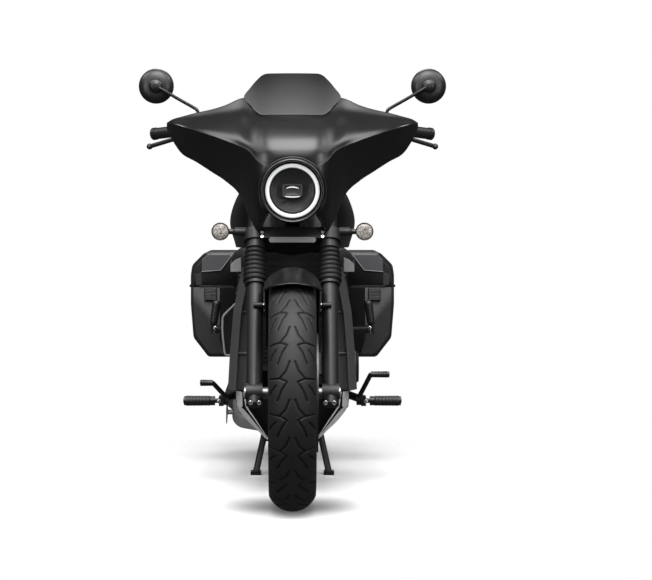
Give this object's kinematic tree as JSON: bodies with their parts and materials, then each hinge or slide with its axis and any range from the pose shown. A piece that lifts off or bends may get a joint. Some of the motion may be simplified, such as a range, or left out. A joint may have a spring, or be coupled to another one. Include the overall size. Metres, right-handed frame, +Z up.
{
  "type": "touring motorcycle",
  "caption": "Touring cruiser motorcycle with a fork-mounted fairing, round headlight, low seat, hard panniers, chain drive and a centre stand.",
  "frame": {"origin": "on the ground below the middle of the machine's length and width", "axes": "+X to the machine's left, +Y to its rear, +Z up"},
  "size_m": [0.898, 2.24, 1.225],
  "materials": {
    "frame_black": "satin",
    "body_black": "gloss",
    "plastic_black": "matt",
    "panel_grey": "matt",
    "engine_black": "matt",
    "alloy_black": "satin",
    "fork_black": "satin",
    "exhaust_black": "matt",
    "radiator_core": "matt",
    "disc_steel": "brushed",
    "axle_steel": "brushed",
    "chain_steel": "oiled",
    "lamp_chrome": "polished",
    "tyre": "matt",
    "grip_rubber": "matt",
    "seat_cover": "grained",
    "screen_smoke": "clear",
    "lens_clear": "clear",
    "lens_red": "clear",
    "caliper_black": "satin",
    "mirror_glass": "polished",
    "lens_amber": "clear",
    "lamp_light": "lit",
    "gauge_glass": "clear",
    "bolt_steel": "brushed"
  },
  "bodies": {
    "chassis": {"main_frame": "frame_black", "seat_subframe": "frame_black", "engine_block": "engine_black", "engine_covers": "engine_black", "radiator": "radiator_core", "radiator_shrouds": "panel_grey", "belly_pan": "panel_grey", "horn": "plastic_black", "exhaust_pipes": "exhaust_black", "muffler": "exhaust_black", "fuel_tank": "body_black", "rider_seat": "seat_cover", "passenger_seat": "seat_cover", "airbox": "plastic_black", "rear_fender": "body_black", "rear_lights": "lens_red", "swingarm": "frame_black", "shock_absorbers": "fork_black", "drive_chain": "chain_steel", "rear_caliper": "caliper_black", "rear_axle": "axle_steel", "pannier_left": "plastic_black", "pannier_right": "plastic_black", "rider_pegs": "frame_black", "passenger_pegs": "grip_rubber", "brake_pedal": "frame_black", "shift_lever": "frame_black"},
    "front_end": {"triple_clamps": "fork_black", "fork_legs": "fork_black", "fork_gaiters": "grip_rubber", "front_axle": "axle_steel", "handlebar": "frame_black", "grips": "grip_rubber", "hand_controls": "plastic_black", "mirrors": "plastic_black", "fairing": "body_black", "inner_fairing": "plastic_black", "windscreen": "screen_smoke", "headlight_bucket": "plastic_black", "headlight_core": "lamp_chrome", "headlight_lens": "lens_clear", "gauge": "plastic_black", "front_indicators": "lens_clear", "front_fender": "body_black", "front_caliper": "caliper_black", "front_brake_hose": "grip_rubber"},
    "front_wheel": {"front_tyre": "tyre", "front_rim": "alloy_black", "front_disc": "disc_steel"},
    "rear_wheel": {"rear_tyre": "tyre", "rear_rim": "alloy_black", "rear_disc": "disc_steel", "rear_sprocket": "chain_steel"},
    "left_lid": {"pannier_lid_left": "plastic_black"},
    "right_lid": {"pannier_lid_right": "plastic_black"},
    "centre_prop": {"centre_stand": "frame_black"},
    "side_prop": {"side_stand": "frame_black"}
  },
  "joints": [
    {"name": "steering", "type": "hinge", "parent": "chassis", "child": "front_end", "pos_m": [0, -0.75594, 0.2935], "axis": [0, 0.4695, 0.8829], "range_deg": [-35, 35]},
    {"name": "front_wheel_spin", "type": "hinge", "parent": "front_end", "child": "front_wheel", "pos_m": [0, -0.802, 0.318], "axis": [1, 0, 0], "continuous": true},
    {"name": "rear_wheel_spin", "type": "hinge", "parent": "chassis", "child": "rear_wheel", "pos_m": [0, 0.718, 0.33], "axis": [1, 0, 0], "continuous": true},
    {"name": "left_lid_hinge", "type": "hinge", "parent": "chassis", "child": "left_lid", "pos_m": [0.3303, 0.378, 0.566], "axis": [0, 1, 0], "range_deg": [0, 80]},
    {"name": "right_lid_hinge", "type": "hinge", "parent": "chassis", "child": "right_lid", "pos_m": [-0.3303, 0.378, 0.566], "axis": [0, -1, 0], "range_deg": [0, 80]},
    {"name": "centre_stand_pivot", "type": "hinge", "parent": "chassis", "child": "centre_prop", "pos_m": [0, 0.148, 0.212], "axis": [1, 0, 0], "range_deg": [0, 78]},
    {"name": "side_stand_pivot", "type": "hinge", "parent": "chassis", "child": "side_prop", "pos_m": [0.122, 0.143, 0.218], "axis": [-0.9285, 0, -0.3714], "range_deg": [0, 104]}
  ]
}
